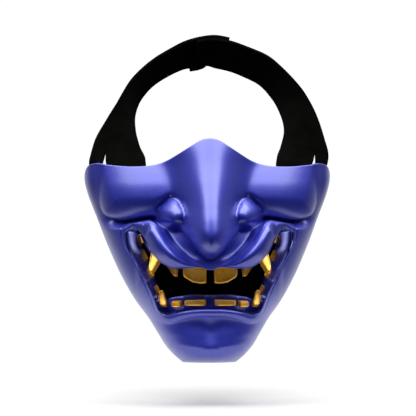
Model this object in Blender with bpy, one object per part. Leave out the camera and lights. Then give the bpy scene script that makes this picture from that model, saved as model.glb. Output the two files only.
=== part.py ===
"""Half-face oni mask: cast shell, gums, teeth, mouth screen and a two-part head strap, in metres."""

import bpy
import numpy as np

MM = 0.001

# Driving sizes, in millimetres. Heights are forward of the plane through the shell's rear corners.
HALF_WIDTH = 88.0
MASK_DROP = 135.5
FACE_DEPTH = 97.0
WALL = 3.5
STRAP_RISE = 101.8
STRAP_REACH = 92.0
STRAP_WALL = 3.0
GUM_DEPTH = 4.0
TOOTH_DEPTH = 4.0
SCREEN_WALL = 1.5
PATCH_WALL = 2.0
GAP = 0.3
TOOTH_GAP = 0.55
PATCH_GAP = 0.6

# Finishes: name, colour, roughness, metallic
BLUE = ("blue_paint", (0.05, 0.05, 0.45), 0.35, 0.6)
GOLD = ("gold_paint", (0.72, 0.45, 0.1), 0.35, 0.7)
NEOPRENE = ("black_neoprene", (0.012, 0.012, 0.01), 0.85, 0)
SCREEN_CLOTH = ("black_cloth", (0.004, 0.004, 0.004), 0.95, 0)
FASTENER = ("hook_and_loop", (0.015, 0.015, 0.015), 0.95, 0)
ASSEMBLY = "oni_mask"

# How finely the shell is divided
SHELL_COLUMNS = 88
FRONT_ROWS = 16
BACK_ROWS = 8
RIM_ROWS = 2
RELIEF_SOFTEN = 2.0


def sized(sizes, rows):
    """Table whose columns of hundredths become lengths of the named sizes; None keeps a column as it is."""
    factors = [1 if size is None else size / 100 for size in sizes]
    return [tuple(value * factor for value, factor in zip(row, factors)) for row in rows]


# Shell outline, section and mouth opening
JAW_ROUND = 2.1
CHIN_ROUND = 15.0
MOUTH_LEAN = 0.8
JAW = sized(
    (MASK_DROP, HALF_WIDTH, FACE_DEPTH, FACE_DEPTH),
    [
        # z, half width, edge height, front height
        (18.5, 100, 0, 47.4),
        (0, 100, 0, 51.5),
        (-7.4, 100, 0, 54.6),
        (-14.8, 97.2, 0.5, 58.8),
        (-22.1, 93, 1.5, 62.9),
        (-29.5, 88.4, 3.1, 69.1),
        (-44.3, 79, 8.2, 78.4),
        (-59, 68, 15.5, 79.9),
        (-70.1, 57.5, 22.7, 78.9),
        (-78.2, 47.7, 28.9, 76.8),
        (-85.6, 40.3, 35.1, 79.4),
        (-93, 32.5, 41.2, 81.4),
        (-97.4, 25.6, 45.4, 80.9),
        (-100, 20.5, 47.4, 80.4),
    ],
)
TOP_RIM = sized(
    (HALF_WIDTH, MASK_DROP),
    [
        # x, z
        (0, 12.4),
        (5.7, 11.8),
        (14.2, 8.8),
        (23.9, 4.9),
        (34.1, 1.3),
        (44.9, -0.7),
        (55.2, -1.2),
        (67.6, -1),
        (80.7, -0.1),
        (90.9, 0.6),
        (96.4, -0.4),
        (99.1, -3),
        (100, -7.4),
    ],
)
UPPER_LIP = sized(
    (HALF_WIDTH, MASK_DROP),
    [
        # x, z
        (0, -52.1),
        (9.8, -51.2),
        (17.4, -51.8),
        (24.5, -51.9),
        (31, -51.4),
        (35.2, -50),
        (39.5, -48),
        (44.1, -44.4),
        (47.3, -40.3),
        (50.2, -36.8),
        (53.4, -34.1),
        (56.8, -32.2),
        (60.5, -31.4),
        (63.6, -32),
        (66.1, -34.2),
    ],
)
LOWER_LIP = sized(
    (HALF_WIDTH, MASK_DROP),
    [
        # x, z
        (66.1, -34.2),
        (65.5, -39.1),
        (61.4, -45.5),
        (57, -50.6),
        (53, -55.4),
        (49.1, -59.5),
        (45.9, -63),
        (43.2, -67.2),
        (40.9, -71.3),
        (37.7, -74.8),
        (33.6, -75.9),
        (28.3, -75.1),
        (20.5, -73.3),
        (9.8, -72.3),
        (0, -72.1),
    ],
)
# Where mouth and outline points face each other, as shares of each half loop
MOUTH_ANCHORS = [0, 0.4, 0.46, 0.8, 1]
OUTLINE_ANCHORS = [0, 0.27, 0.36, 0.85, 1]

# Cheeks and nose
CHEEK = sized(
    (MASK_DROP, FACE_DEPTH),
    [
        # z, height
        (-44.3, 57.7),
        (-29.5, 58.8),
        (-22.1, 58.6),
        (-16.2, 57.5),
        (-11.1, 55.2),
        (-5.9, 51.5),
        (0, 46.9),
        (7.4, 41.2),
        (18.5, 32),
    ],
)
CHEEK_HALF_WIDTH = 1.023 * HALF_WIDTH
CHEEK_ROUND = 2.6
CHEEK_SINK = 0.082 * FACE_DEPTH
RIDGE = sized(
    (MASK_DROP, FACE_DEPTH, None),
    [
        # z, height, side slope
        (-48.7, 101, 1.8),
        (-41.3, 101, 2.1),
        (-35.4, 100, 2.45),
        (-29.5, 96.9, 2.7),
        (-22.1, 91.2, 2.6),
        (-11.1, 82, 1.95),
        (0, 72.7, 1.45),
        (7.4, 67, 1.15),
        (16.2, 60.3, 1),
    ],
)
RIDGE_RADIUS = 14.0
NOSE_BLEND = 9.0
CHEEK_EDGE = sized(
    (HALF_WIDTH, MASK_DROP, MASK_DROP, FACE_DEPTH, FACE_DEPTH, MASK_DROP),
    [
        # x, z, round, fall, sink, reach: lower edge of the nose, the cheek roll and its outer end
        (-7, -42.4, 8.9, 10.3, 0, 3),
        (0, -44.5, 8.9, 10.3, 0, 3),
        (7, -42.4, 8.9, 10.3, 0, 3),
        (14.2, -37.9, 8.1, 9.3, 0, 6),
        (21.4, -33.7, 6.6, 7.2, 3, 6),
        (27.3, -31.4, 6.6, 8.2, 8, 6),
        (34.1, -29.5, 8.9, 9.3, 13, 6),
        (40.9, -27.5, 11.1, 10.3, 16, 6),
        (51.1, -27.7, 11.8, 11.3, 16, 5),
        (62.5, -28.6, 12.5, 11.3, 15, 3.7),
        (73.9, -27.9, 11.8, 11.3, 11, 6.6),
        (82.2, -25.5, 10.3, 11.3, 6, 8.9),
        (86.9, -19.9, 8.9, 11.3, 3, 8.1),
        (89.5, -10.3, 7.4, 9.3, 2, 5.2),
        (90.9, 0, 6.6, 5.2, 1.5, 3.7),
        (92, 18.5, 6.6, 3.1, 1, 3.7),
    ],
)
CHEEK_BLEND = 1.5
HOOD_SHARE = 0.35
EDGE_DROP = 4.0
WING_X = 0.289 * HALF_WIDTH
WING_Z = -0.246 * MASK_DROP
WING_RADIUS = [
    # degrees, radius of the bump, reach and fall of the hood over it
    (-180, 8.0, 2.0, 2.2),
    (-150, 8.2, 1.6, 0.8),
    (-100, 8.6, 2, 0),
    (-60, 7.8, 3, 0),
    (-37, 8.2, 4, 0),
    (-10, 8.6, 6, 2.0),
    (13, 8.6, 8, 6.0),
    (35, 8.0, 8, 8.0),
    (57, 7.7, 6.8, 8.0),
    (84, 8.6, 6.6, 7.5),
    (107, 8.7, 4.6, 6.0),
    (135, 7.6, 3.2, 4.5),
    (160, 7.6, 2.4, 3.2),
    (180, 8.0, 2.0, 2.2),
]
WING_BASE = 0.619 * FACE_DEPTH
WING_TILT_X = -0.75
WING_TILT_Z = -0.5
WING_RISE = 8.0
WING_BLEND = 2.0
CHANNEL_DEPTH = 2.0
CHANNEL_DEEP = 8.5
CHANNEL_START = 12.0
CHANNEL_WIDEN = 12.0
CHANNEL_BLEND = 4.0
CHANNEL_END = 40.0
CHANNEL_FADE = 8.0

# Lips and chin
LIP_ROLL = sized(
    (HALF_WIDTH, MASK_DROP, FACE_DEPTH, FACE_DEPTH),
    [
        # x, z, step, bulge: outer line of the upper lip
        (0, -51.5, 0, 0),
        (5.7, -51.4, 0.3, 0.6),
        (13.4, -49.8, 1, 2.6),
        (20.1, -46.8, 1.9, 5.2),
        (24.7, -43.9, 2.3, 7.2),
        (30.9, -39.7, 2.6, 8.8),
        (37.4, -33.3, 2.6, 8.8),
        (41.5, -29.2, 2.6, 7.7),
        (46, -27.9, 2.1, 6.2),
        (52.3, -28.5, 1.2, 3.1),
        (59.1, -29.2, 0.5, 1),
        (68.2, -30.3, 0, 0),
    ],
)
LIP_SKEW = 0.75
LIP_FULL = 0.8
STEP_WIDTH = 0.8
LIP_END = 60.0
ROLL_BLEND = 0.8
TINY = 1e-6
LOWER_LIP_ROLL = sized(
    (HALF_WIDTH, MASK_DROP, MASK_DROP, FACE_DEPTH),
    [
        # x, z, half width, rise
        (0, -73.7, 2.2, 3.3),
        (11.4, -73.9, 2.2, 3.3),
        (22.7, -75.6, 2.2, 2.9),
        (31.8, -77.6, 2.2, 2.3),
        (39.8, -76.4, 2.2, 1),
        (44.3, -70.8, 2.2, 0.2),
    ],
)
HOLLOW_DEPTH = 5.0
HOLLOW_HALF_WIDTH = 22.0
HOLLOW_Z = -0.443 * MASK_DROP
HOLLOW_HALF_HEIGHT = 9.0
GROOVE_DEPTH = 1.6
GROOVE_HALF_WIDTH = 3.5
GROOVE_TOP = -0.76 * MASK_DROP
GROOVE_BOTTOM = -0.96 * MASK_DROP
GROOVE_START = 4.0
GROOVE_RUNOUT = 10.0

# Gums, teeth and the screen behind the mouth
GUM_STATIONS = 36
GUM_SAMPLES = 200
UPPER_GUM = sized(
    (HALF_WIDTH, MASK_DROP, FACE_DEPTH, MASK_DROP, None),
    [
        # x, z, height, half width, inward tilt
        (0, -49.7, 69.9, 3.3, 0),
        (13.6, -49.4, 68.9, 3.3, 0.1),
        (25, -48.9, 65.5, 3.3, 0.25),
        (34.1, -47.2, 59.8, 3.3, 0.4),
        (40.9, -44.3, 54.1, 3.3, 0.5),
        (46.6, -39.1, 47.9, 3, 0.5),
        (50, -35.4, 43.8, 2.6, 0.5),
    ],
)
LOWER_GUM = sized(
    (HALF_WIDTH, MASK_DROP, FACE_DEPTH, MASK_DROP, None),
    [
        # x, z, height, half width, inward tilt
        (0, -69.4, 69.6, 4.4, 0),
        (13.6, -69.4, 68.6, 4.4, 0.1),
        (25, -70.5, 64.9, 4.4, 0.2),
        (34.1, -71.2, 57.7, 3.7, 0.3),
        (40.9, -67.5, 54.1, 3.6, 0.4),
        (44.9, -62, 52.1, 3.7, 0.5),
        (50, -54.6, 47.7, 4.1, 0.6),
        (55.3, -47.2, 42.3, 4.6, 0.65),
        (59.5, -39.9, 35.6, 4.6, 0.7),
        (60.6, -35.1, 32, 4.2, 0.7),
    ],
)
TEETH = [
    # name, row, x and width of the half width, z and length of the drop, tip share, tip shift
    ("upper_central", "upper", 11.1, 18.4, -54.8, 9.6, 0.8, 0),
    ("upper_lateral", "upper", 26.8, 9.5, -53, 7.4, 0.35, -0.25),
    ("upper_fang", "upper", 40.5, 9.8, -51.3, 15.5, 0.12, 0.15),
    ("lower_central", "lower", 10.9, 16.6, -68.9, 3.1, 0.9, 0),
    ("lower_lateral", "lower", 23.4, 7.7, -69.2, 3.2, 0.85, 0),
    ("lower_fang", "lower", 33.9, 8.2, -68.8, 8.9, 0.3, 0.1),
    ("side_tooth_1", "side", 41.9, 3.4, -64.2, 4.9, 0.9, 0),
    ("side_tooth_2", "side", 47, 3.4, -56.2, 6.3, 0.9, 0),
    ("side_tooth_3", "side", 51.8, 3.4, -47.4, 6.8, 0.9, 0),
    ("side_tooth_4", "side", 55.5, 3.4, -39.1, 6.5, 0.9, 0),
]
TOOTH_SIDES = 8
SEAT_STEPS = 6
BESIDE = 1.5
TOOTH_RINGS = 6
SCREEN_CENTRE_Z = -0.576 * MASK_DROP
SCREEN_COLUMNS = 40
SCREEN_ROWS = 5
SCREEN_ROUND = sized(
    (HALF_WIDTH, FACE_DEPTH),
    [
        # x, height
        (0, 71),
        (13.6, 69.4),
        (25, 64.6),
        (34.1, 54.8),
        (40.9, 48.2),
        (47.7, 41),
        (54.5, 32.5),
        (61.4, 25.3),
        (70.5, 20.1),
        (80, 16),
    ],
)
SCREEN_EDGE = sized(
    (HALF_WIDTH, MASK_DROP),
    [
        # x, z
        (0, -44.3),
        (22.7, -42.1),
        (43.2, -35.4),
        (54.5, -28),
        (63.6, -28.4),
        (69.3, -32.5),
        (68.2, -39.9),
        (60.2, -51.7),
        (51.1, -62.7),
        (44.3, -73.8),
        (34.1, -79),
        (17, -77.5),
        (0, -76),
    ],
)

# Head strap of 3 mm sheet, each half from the back of the head to a forked end
STRAP_STEPS = 30
FORK_STEP = 22
INNER_TAIL_CELLS = 4
OUTER_TAIL_CELLS = 2
FORK_SHARE = 0.74
INNER_TAIL_SHARE = 0.6
OUTER_TAIL_SHARE = 0.84
STRAP_LAP = 13.0
LAP_GAP = 0.8
LAP_KEEP = 34.0
LAP_EASE = 28.0
PATCH_START = 0.45
OUTER_TOP = (0.074 * HALF_WIDTH, 0.804 * STRAP_REACH, STRAP_RISE)
INNER_TOP = (0, STRAP_REACH, 0.819 * STRAP_RISE)
STRAP_OUTER = sized(
    (STRAP_RISE, STRAP_REACH, HALF_WIDTH, HALF_WIDTH),
    [
        # z, depth, right x, left x
        (96.3, 79.9, 29.3, 13.6),
        (90, 77.2, 44.1, 27.6),
        (83.6, 74.5, 56.1, 39.9),
        (77.2, 70.7, 64.4, 49.4),
        (67.7, 64.1, 75.1, 60.6),
        (58.2, 56.5, 83.9, 68.2),
        (45.6, 46.7, 91.4, 77.3),
        (33.3, 37, 96.1, 85.2),
        (21.1, 27.2, 99.2, 92.4),
        (9.2, 16.3, 101.2, 95.9),
        (2, 8.7, 99.4, 96.9),
        (-7.9, -3.3, 92, 90.9),
        (-16.7, -17.4, 84.1, 84.1),
    ],
)
STRAP_INNER = sized(
    (STRAP_RISE, STRAP_REACH, HALF_WIDTH, HALF_WIDTH),
    [
        # z, depth, right x, left x
        (79.9, 99.5, 11.7, 3.4),
        (76.7, 97.8, 25.9, 18.6),
        (70.2, 94.6, 39.1, 33.8),
        (63.7, 89.1, 49.3, 44.3),
        (53.7, 78.3, 58.2, 53.9),
        (40.5, 58.7, 64.3, 59.5),
        (27.4, 35.9, 65.7, 59.1),
        (14.8, 13, 61.1, 55.3),
        (2.7, -9.8, 55.1, 50.1),
        (-4.9, -20.7, 55.1, 52.3),
        (-10.8, -29.3, 56.2, 55.7),
        (-17.7, -38, 58.5, 58.5),
    ],
)


def hermite(x, xs, ys):
    """Smooth curve through the points (xs, ys)."""
    xs = np.asarray(xs, float)
    ys = np.asarray(ys, float)
    slope = np.gradient(ys, xs)
    x = np.clip(x, xs[0], xs[-1])
    i = np.clip(np.searchsorted(xs, x, side="right") - 1, 0, len(xs) - 2)
    span = xs[i + 1] - xs[i]
    t = (x - xs[i]) / span
    start = (2 * t**3 - 3 * t**2 + 1) * ys[i] + (t**3 - 2 * t**2 + t) * span * slope[i]
    end = (3 * t**2 - 2 * t**3) * ys[i + 1] + (t**3 - t**2) * span * slope[i + 1]
    return start + end


def column(table, key, value):
    """Value column of a table at each key, the key in the first column."""
    rows = np.asarray(sorted(table), float)
    return hermite(key, rows[:, 0], rows[:, value])


def smooth(t):
    t = np.clip(t, 0, 1)
    return t * t * (3 - 2 * t)


def soft_max(a, b, blend):
    return np.maximum(a, b) + np.maximum(blend - np.abs(a - b), 0) ** 2 / (4 * blend)


def lengths(points):
    return np.concatenate([[0], np.cumsum(np.linalg.norm(np.diff(points, axis=0), axis=1))])


def curve(rows, count, shares=None, dims=2):
    """Points along a smooth curve through the rows, spaced by length over its first dims columns."""
    rows = np.asarray(rows, float)
    s = lengths(rows[:, :dims])
    t = np.linspace(0, s[-1], 8 * count)
    dense = np.stack([hermite(t, s, rows[:, j]) for j in range(rows.shape[1])], 1)
    walked = lengths(dense[:, :dims])
    shares = np.linspace(0, 1, count) if shares is None else shares
    return np.stack([np.interp(shares * walked[-1], walked, dense[:, j]) for j in range(rows.shape[1])], 1)


def nearest(x, z, path):
    """Distance to a path, positive on its left, and the path's other columns there."""
    best = np.full(x.shape, 1e9)
    side = np.zeros(x.shape)
    values = np.zeros(x.shape + (path.shape[1] - 2,))
    for a, b in zip(path[:-1], path[1:]):
        ex, ez = b[:2] - a[:2]
        t = np.clip(((x - a[0]) * ex + (z - a[1]) * ez) / (ex * ex + ez * ez), 0, 1)
        away = np.hypot(x - a[0] - t * ex, z - a[1] - t * ez)
        closer = away < best
        best = np.where(closer, away, best)
        side = np.where(closer, np.sign(ex * (z - a[1]) - ez * (x - a[0])), side)
        values = np.where(closer[..., None], a[2:] + t[..., None] * (b[2:] - a[2:]), values)
    return best * side, values


EDGE_PATH = curve(CHEEK_EDGE, 90)
ROLL_PATH = curve(LIP_ROLL, 50)
LIP_PATH = curve(UPPER_LIP, 40)
LOWER_ROLL_PATH = curve(LOWER_LIP_ROLL, 30)


def quarter(t):
    """Rise of a quarter circle over t from 0 to 1."""
    return 1 - np.sqrt(np.clip(1 - np.clip(t, 0, 1) ** 2, 0, 1))


def jaw(x, z):
    edge = column(JAW, z, 2)
    share = np.clip(x / column(JAW, z, 1), 0, 1)
    across = np.sqrt(1 - share**JAW_ROUND)
    under = np.sqrt(1 - np.clip((CHIN_ROUND - MASK_DROP - z) / CHIN_ROUND, 0, 1) ** 2.2)
    hollow = HOLLOW_DEPTH * np.exp(-((x / HOLLOW_HALF_WIDTH) ** 2) - ((z - HOLLOW_Z) / HOLLOW_HALF_HEIGHT) ** 2)
    return edge + (column(JAW, z, 3) - edge) * across * under - hollow


def wing_place(x, z):
    """Distance from the middle of the nose wing, its radius there, and the reach and fall of its hood."""
    away = np.hypot(x - WING_X, z - WING_Z)
    angle = np.degrees(np.arctan2(z - WING_Z, x - WING_X))
    return away, column(WING_RADIUS, angle, 1), column(WING_RADIUS, angle, 2), column(WING_RADIUS, angle, 3)


def cheek(x, z):
    """Cheeks and nose in one, rolled under at their lower edge and hooded over the nose wing, and the sink below."""
    share = np.clip(x / CHEEK_HALF_WIDTH, 0, 1)
    flat = (column(CHEEK, z, 1) + CHEEK_SINK) * np.sqrt(1 - share**CHEEK_ROUND) - CHEEK_SINK
    side = column(RIDGE, z, 2) * (np.hypot(x, RIDGE_RADIUS) - RIDGE_RADIUS)
    top = soft_max(flat, column(RIDGE, z, 1) - side, NOSE_BLEND)
    inside, values = nearest(x, z, EDGE_PATH)
    roll = values[..., 1] * quarter(1 - inside / values[..., 0])
    away, radius, reach, fall = wing_place(x, z)
    hood = fall * quarter(1 - (away - radius) / reach)
    top = top - np.maximum(roll, hood) - HOOD_SHARE * np.minimum(roll, hood)
    sink = values[..., 2] * smooth(1 + inside / values[..., 3])
    return np.where(inside >= 0, top, top - EDGE_DROP * np.abs(inside)), sink


def upper_lip(x, z):
    """Rise of the upper lip between its outer line and the mouth, the channel above it, and how far on it a point is."""
    outer, values = nearest(x, z, ROLL_PATH)
    inner, _ = nearest(x, z, LIP_PATH)
    q = np.where(inner > 0, np.abs(outer) / (np.abs(outer) + np.abs(inner) + TINY), 1)
    bulge = np.sin(np.pi * np.clip(q, 0, 1) ** LIP_SKEW) ** LIP_FULL
    step = values[..., 0] * smooth(np.abs(outer) / STEP_WIDTH)
    deep = CHANNEL_DEPTH + (CHANNEL_DEEP - CHANNEL_DEPTH) * smooth((x - CHANNEL_START) / CHANNEL_WIDEN)
    channel = deep * smooth(outer / CHANNEL_BLEND) * smooth((CHANNEL_END - x) / CHANNEL_FADE)
    on_lip = smooth(-outer) * smooth((LIP_END - x) / CHANNEL_FADE)
    return np.where(outer < 0, step + values[..., 1] * bulge, 0), channel, on_lip


def height(x, z):
    """Forward height of the outer face over any point of the front."""
    x = np.abs(x)
    above, sink = cheek(x, z)
    lip, channel, on_lip = upper_lip(x, z)
    low = jaw(x, z) - np.maximum(sink * (1 - on_lip), channel)
    face = soft_max(low + lip, above, CHEEK_BLEND)
    away, radius, _, _ = wing_place(x, z)
    q = away / radius
    swell = np.where(q < 1, np.sqrt(np.clip(1 - q * q, 0, 1)), 2 - 2 * q)
    wing = WING_BASE + WING_TILT_X * (x - WING_X) + WING_TILT_Z * (z - WING_Z) + WING_RISE * swell
    face = soft_max(face, wing, WING_BLEND)
    away, values = nearest(x, z, LOWER_ROLL_PATH)
    roll = values[..., 1] * np.sqrt(np.clip(1 - (away / values[..., 0]) ** 2, 0, 1))
    face = soft_max(face, low + roll, ROLL_BLEND)
    length = smooth((GROOVE_TOP - z) / GROOVE_START) * smooth((z - GROOVE_BOTTOM) / GROOVE_RUNOUT)
    groove = np.exp(-((x / GROOVE_HALF_WIDTH) ** 2)) * length
    return face - GROOVE_DEPTH * groove


def soft_height(x, z):
    """Outer face with its relief averaged over a small round, so that coarse facets follow it evenly."""
    relief = height(x, z) - jaw(np.abs(x), z)
    turns = np.linspace(0, 2 * np.pi, 8, endpoint=False)
    for turn in turns:
        u = x + RELIEF_SOFTEN * np.cos(turn)
        v = z + RELIEF_SOFTEN * np.sin(turn)
        relief = relief + height(u, v) - jaw(np.abs(u), v)
    return jaw(np.abs(x), z) + relief / (1 + len(turns))


def inset_height(x, z, depth):
    """Height of a face that lies depth inside the outer face everywhere."""
    low = height(x, z) - depth
    for share in (0.35, 0.7, 0.95):
        drop = depth * np.sqrt(1 - share**2)
        for turn in np.linspace(0, 2 * np.pi, 12, endpoint=False):
            reach = share * depth
            low = np.minimum(low, height(x + reach * np.cos(turn), z + reach * np.sin(turn)) - drop)
    return low


def material(name, colour, roughness, metallic):
    made = bpy.data.materials.new(name)
    made.use_nodes = True
    surface = made.node_tree.nodes["Principled BSDF"]
    surface.inputs["Base Color"].default_value = (*colour, 1)
    surface.inputs["Roughness"].default_value = roughness
    surface.inputs["Metallic"].default_value = metallic
    return made


def add_body(name, points, faces, finish):
    """Closed mesh object from points (x, height, z) in mm, with its origin at its middle."""
    placed = np.stack([points[:, 0], -points[:, 1], points[:, 2]], 1) * MM
    corners = [[placed[face[0]], placed[a], placed[b]] for face in faces for a, b in zip(face[1:-1], face[2:])]
    if np.linalg.det(np.array(corners)).sum() < 0:
        faces = [face[::-1] for face in faces]
    middle = (placed.min(0) + placed.max(0)) / 2
    mesh = bpy.data.meshes.new(name)
    mesh.from_pydata([tuple(p) for p in placed - middle], [], [tuple(int(v) for v in f) for f in faces])
    mesh.shade_smooth()
    mesh.materials.append(bpy.data.materials.get(finish[0]) or material(*finish))
    obj = bpy.data.objects.new(name, mesh)
    obj.location = middle
    obj.parent = bpy.data.objects[ASSEMBLY]
    bpy.context.scene.collection.objects.link(obj)


def grid_faces(rows, columns, row_loop=False, column_loop=False):
    """Quads of a grid of points stored row by row."""
    faces = []
    for r in range(rows if row_loop else rows - 1):
        for c in range(columns if column_loop else columns - 1):
            below = ((r + 1) % rows) * columns
            beside = (c + 1) % columns
            faces.append((r * columns + c, r * columns + beside, below + beside, below + c))
    return faces


def mirrored(half):
    """Whole loop from the half loop of x >= 0 points that starts and ends on the middle."""
    other = half[-2:0:-1] * np.array([-1] + [1] * (half.shape[1] - 1))
    return np.concatenate([half, other])


def shell_loops():
    """Mouth and outline as facing half loops."""
    count = SHELL_COLUMNS // 2 + 1
    along = np.linspace(0, 1, count)
    steps = np.linspace(0, 1, len(MOUTH_ANCHORS))
    sides = [(row[1], row[0]) for row in JAW if row[0] < TOP_RIM[-1][1] - 1]
    jaw_line = curve(TOP_RIM[-1:] + sides, 120)[1:]
    jaw_line[:, 0] = column(JAW, jaw_line[:, 1], 1)
    outline = np.concatenate([curve(TOP_RIM, 80), jaw_line])
    foot = np.stack([np.linspace(outline[-1, 0], 0, 20)[1:], np.full(19, -MASK_DROP)], 1)
    outline = np.concatenate([outline, foot])
    mouth = np.concatenate([curve(UPPER_LIP, 80), curve(LOWER_LIP, 80)[1:]])
    loops = []
    for line, anchors in ((mouth, MOUTH_ANCHORS), (outline, OUTLINE_ANCHORS)):
        walked = lengths(line) / lengths(line)[-1]
        shares = np.interp(along, steps, anchors)
        loops.append(np.stack([np.interp(shares, walked, line[:, j]) for j in (0, 1)], 1))
    low = (loops[1][:, 1] < TOP_RIM[-1][1]) & (loops[1][:, 1] > -MASK_DROP)
    loops[1][low, 0] = column(JAW, loops[1][low, 1], 1)
    return loops


def spaced(front, rows):
    """Rows of each column moved to equal steps of length."""
    out = np.empty((rows, front.shape[1], 3))
    for c in range(front.shape[1]):
        walked = lengths(front[:, c])
        at = np.linspace(0, walked[-1], rows)
        for j in range(3):
            out[:, c, j] = np.interp(at, walked, front[:, c, j])
    return out


def sheet_between(inner, outer, rows, depth):
    """Points (x, height, z) of the face at this depth, from the inner loop to the outer loop."""
    t = np.linspace(0, 1, 8 * rows)[:, None, None]
    flat = inner[None] + t * (outer - inner)[None]
    x = flat[..., 0]
    z = flat[..., 1]
    h = inset_height(x, z, depth) if depth else soft_height(x, z)
    return spaced(np.stack([x, h, z], -1), rows)


def rim(front, back, outward):
    """Rows that round off the wall between two edges."""
    rows = []
    for k in range(1, RIM_ROWS + 1):
        turn = np.pi * k / (RIM_ROWS + 1)
        middle = (front + back) / 2 + (front - back) / 2 * np.cos(turn)
        rows.append(middle + outward * np.sin(turn) * np.linalg.norm(front - back, axis=1)[:, None] / 4)
    return np.array(rows)


def unit(v):
    return v / np.linalg.norm(v, axis=-1, keepdims=True)


def mask_shell():
    mouth, outline = shell_loops()
    front = sheet_between(mouth, outline, FRONT_ROWS, 0)
    out = unit(front[-1] - front[-2])
    along = np.gradient(front[-1], axis=0)
    normal = unit(np.cross(out, along))
    normal *= np.sign(normal[:, 1:2] + 1e-9)
    edge = outline - WALL * normal[:, [0, 2]]
    edge[[0, -1], 0] = 0
    away = unit(outline - mouth)
    lip = mouth + MOUTH_LEAN * away
    lip[[0, -1], 0] = 0
    back = sheet_between(edge, lip, BACK_ROWS, WALL)
    rows = [front, rim(front[-1], back[0], out), back, rim(back[-1], front[0], unit(front[0] - front[1]))]
    rows = np.concatenate(rows)
    whole = np.stack([mirrored(row) for row in rows])
    add_body("mask_shell", whole.reshape(-1, 3), grid_faces(len(whole), SHELL_COLUMNS, True, True), BLUE)


def gum_frames(table, stations):
    """Points, and the directions along, across and out of the face, of a gum's middle line."""
    line = curve(table, stations, dims=3)
    points = line[:, [0, 2, 1]] - np.array([0, WALL, 0])
    along = unit(np.gradient(points, axis=0))
    face = np.stack([-line[:, 4], np.ones(len(line)), np.zeros(len(line))], 1)
    face = unit(face - along * np.einsum("ij,ij->i", face, along)[:, None])
    return points, along, np.cross(along, face), face, line[:, 3]


def between_stations(values):
    """The values of a gum's stations, with evenly spaced ones between them."""
    at = np.linspace(0, len(values) - 1, GUM_SAMPLES)
    low = np.minimum(at.astype(int), len(values) - 2)
    share = (at - low).reshape([-1] + [1] * (values.ndim - 1))
    return values[low] * (1 - share) + values[low + 1] * share


def gum(name, table):
    """Band along both halves of a jaw, with rounded corners."""
    half = GUM_STATIONS // 2 + 1
    points, _, across, face, width = gum_frames(table, half)
    corners = [(1, 0.5), (0.7, 1), (-0.7, 1), (-1, 0.5), (-1, -0.5), (-0.7, -1), (0.7, -1), (1, -0.5)]
    rings = []
    for u, v in corners:
        rings.append(points + across * (u * width)[:, None] + face * v * GUM_DEPTH / 2)
    rings = np.stack(rings, 1)
    other = rings[:0:-1] * np.array([-1, 1, 1])
    rings = np.concatenate([other, rings])
    faces = grid_faces(len(rings), len(corners), False, True)
    last = (len(rings) - 1) * len(corners)
    faces.append(tuple(range(len(corners)))[::-1])
    faces.append(tuple(range(last, last + len(corners))))
    add_body(name, rings.reshape(-1, 3), [tri for face in faces for tri in fan(face)], BLUE)


def fan(face):
    return [face] if len(face) == 4 else [(face[0], face[i], face[i + 1]) for i in range(1, len(face) - 1)]


def seated(rings, way, surface, normals):
    """Tooth's rings moved along its facing way until they clear the gum by the gap."""
    between = (rings + np.roll(rings, -1, axis=1)) / 2
    samples = np.concatenate([rings, between, (rings[1:] + rings[:-1]) / 2, (between[1:] + between[:-1]) / 2])
    samples = samples.reshape(-1, 3)
    moved = np.zeros(3)
    for _ in range(SEAT_STEPS):
        away = (samples + moved)[:, None] - surface[None]
        nearest_one = np.argmin((away**2).sum(-1), axis=1)
        away = away[np.arange(len(samples)), nearest_one]
        over = (away * normals[nearest_one]).sum(-1)
        whole = np.linalg.norm(away, axis=1)
        beside = np.sqrt(np.maximum(whole**2 - over**2, 0))
        moved = moved + way * (TOOTH_GAP - np.where(beside < BESIDE, over, whole).min())
    return rings + moved


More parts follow.
